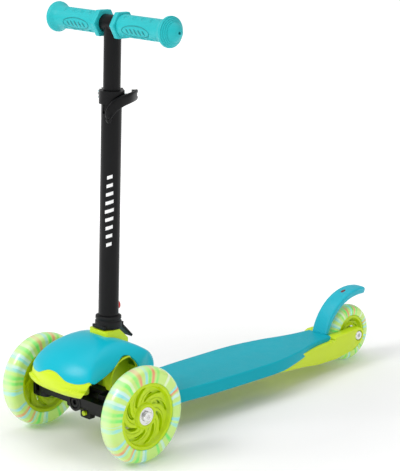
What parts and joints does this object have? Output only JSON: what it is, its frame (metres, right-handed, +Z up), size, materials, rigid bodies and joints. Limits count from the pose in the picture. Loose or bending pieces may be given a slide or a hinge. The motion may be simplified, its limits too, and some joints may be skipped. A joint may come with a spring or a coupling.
{
  "type": "kick scooter",
  "caption": "child's kick scooter with lean steering, light-up wheels, a telescoping handlebar with a lever clamp, and a stamp-on rear brake fender",
  "frame": {"origin": "on the floor, in the middle of the scooter's length and width", "axes": "+Z up, the front of the scooter towards -Y, +X on the rider's left"},
  "size_m": [0.23, 0.5841, 0.5346],
  "materials": {
    "lime_plastic": "moulded nylon, satin gloss",
    "teal_plastic": "moulded plastic, satin, fine grip texture on the deck",
    "grip_rubber": "soft moulded rubber, matte",
    "clear_tyre": "translucent polyurethane, lit from inside",
    "light_strip": "flexible strip with coloured lamps",
    "black_paint": "black powder coat, satin gloss",
    "black_plastic": "moulded glass-filled nylon",
    "black_rubber": "dense moulded rubber",
    "red_plastic": "glossy moulded plastic",
    "plain_steel": "plain steel",
    "bright_steel": "bright zinc plate"
  },
  "bodies": {
    "chassis": {"chassis": "lime_plastic", "nose_tray": "lime_plastic", "nose_cover": "teal_plastic", "deck_top": "teal_plastic", "deck_screws": "bright_steel", "lean_bolt": "black_plastic", "rear_axle_bolt": "bright_steel", "rear_axle_nut": "bright_steel", "rear_magnet_spacer": "plain_steel", "fender_pin": "bright_steel", "fender_spring": "plain_steel"},
    "front_beam": {"front_beam": "black_plastic", "torsion_bush": "black_rubber", "left_kingpin": "black_plastic", "right_kingpin": "black_plastic"},
    "tie_bar": {"tie_bar": "black_plastic", "tie_pins": "black_plastic"},
    "left_knuckle": {"left_knuckle": "black_plastic", "left_axle_bolt": "bright_steel", "left_magnet_spacer": "plain_steel"},
    "right_knuckle": {"right_knuckle": "black_plastic", "right_axle_bolt": "bright_steel", "right_magnet_spacer": "plain_steel"},
    "left_wheel": {"left_wheel_core": "lime_plastic", "left_tyre": "clear_tyre", "left_light_ring": "light_strip", "left_wheel_bearings": "bright_steel"},
    "right_wheel": {"right_wheel_core": "lime_plastic", "right_tyre": "clear_tyre", "right_light_ring": "light_strip", "right_wheel_bearings": "bright_steel"},
    "rear_wheel": {"rear_wheel_core": "lime_plastic", "rear_tyre": "clear_tyre", "rear_light_ring": "light_strip", "rear_wheel_bearings": "bright_steel"},
    "brake_fender": {"brake_fender": "teal_plastic", "brake_pad": "black_plastic"},
    "lower_stem": {"stem_collar": "black_plastic", "lower_tube": "black_paint", "tube_bush": "black_plastic", "release_spring": "plain_steel", "clamp_collar": "black_paint", "clamp_nut": "bright_steel", "clamp_washer": "bright_steel", "clamp_bolt": "bright_steel", "lever_pin": "bright_steel"},
    "release_button": {"release_button": "red_plastic"},
    "clamp_lever": {"clamp_lever": "black_paint"},
    "handlebar": {"handlebar_tube": "black_paint", "left_grip": "grip_rubber", "right_grip": "grip_rubber", "snap_spring": "plain_steel"},
    "snap_button": {"snap_button": "bright_steel"}
  },
  "joints": [
    {"name": "lean", "type": "hinge", "parent": "chassis", "child": "front_beam", "pos_m": [0, -0.245, 0.058], "axis": [0, 1, 0], "range_deg": [-12, 12], "stiffness_Nm_per_rad": 60},
    {"name": "tie_bar_shift", "type": "slide", "parent": "front_beam", "child": "tie_bar", "axis": [1, 0, 0], "range_m": [-0.004, 0.004]},
    {"name": "left_steer", "type": "hinge", "parent": "front_beam", "child": "left_knuckle", "pos_m": [0.064, -0.245, 0.06], "axis": [0, 0, 1], "range_deg": [-8, 8]},
    {"name": "right_steer", "type": "hinge", "parent": "front_beam", "child": "right_knuckle", "pos_m": [-0.064, -0.245, 0.06], "axis": [0, 0, 1], "range_deg": [-8, 8]},
    {"name": "left_wheel_spin", "type": "hinge", "parent": "left_knuckle", "child": "left_wheel", "pos_m": [0.0926, -0.227, 0.06], "axis": [1, 0, 0], "continuous": true},
    {"name": "right_wheel_spin", "type": "hinge", "parent": "right_knuckle", "child": "right_wheel", "pos_m": [-0.0926, -0.227, 0.06], "axis": [1, 0, 0], "continuous": true},
    {"name": "rear_wheel_spin", "type": "hinge", "parent": "chassis", "child": "rear_wheel", "pos_m": [0, 0.252, 0.04], "axis": [1, 0, 0], "continuous": true},
    {"name": "brake_press", "type": "hinge", "parent": "chassis", "child": "brake_fender", "pos_m": [0, 0.197, 0.045], "axis": [-1, 0, 0], "range_deg": [0, 4], "stiffness_Nm_per_rad": 1.2, "springref_deg": -34.38},
    {"name": "stem_lift_off", "type": "slide", "parent": "chassis", "child": "lower_stem", "axis": [0, 0.0297, 0.9996], "range_m": [0, 0.085]},
    {"name": "release_button_press", "type": "slide", "parent": "lower_stem", "child": "release_button", "axis": [0, -0.9996, 0.0297], "range_m": [0, 0.0025], "stiffness_N_per_m": 800, "springref_m": -0.002},
    {"name": "clamp_lever_open", "type": "hinge", "parent": "lower_stem", "child": "clamp_lever", "pos_m": [0.00331, -0.15679, 0.42793], "axis": [0, 0.0297, 0.9996], "range_deg": [0, 100]},
    {"name": "handlebar_height", "type": "slide", "parent": "lower_stem", "child": "handlebar", "axis": [0, 0.0297, 0.9996], "range_m": [0, 0.09]},
    {"name": "snap_button_press", "type": "slide", "parent": "handlebar", "child": "snap_button", "axis": [0, -0.9996, 0.0297], "range_m": [0, 0.0025], "stiffness_N_per_m": 600, "springref_m": -0.002}
  ],
  "couplings": [
    {"joint": "tie_bar_shift", "follows": "lean", "m_per_rad": 0.018},
    {"joint": "left_steer", "follows": "lean", "ratio": -0.64286},
    {"joint": "right_steer", "follows": "lean", "ratio": -0.64286}
  ]
}
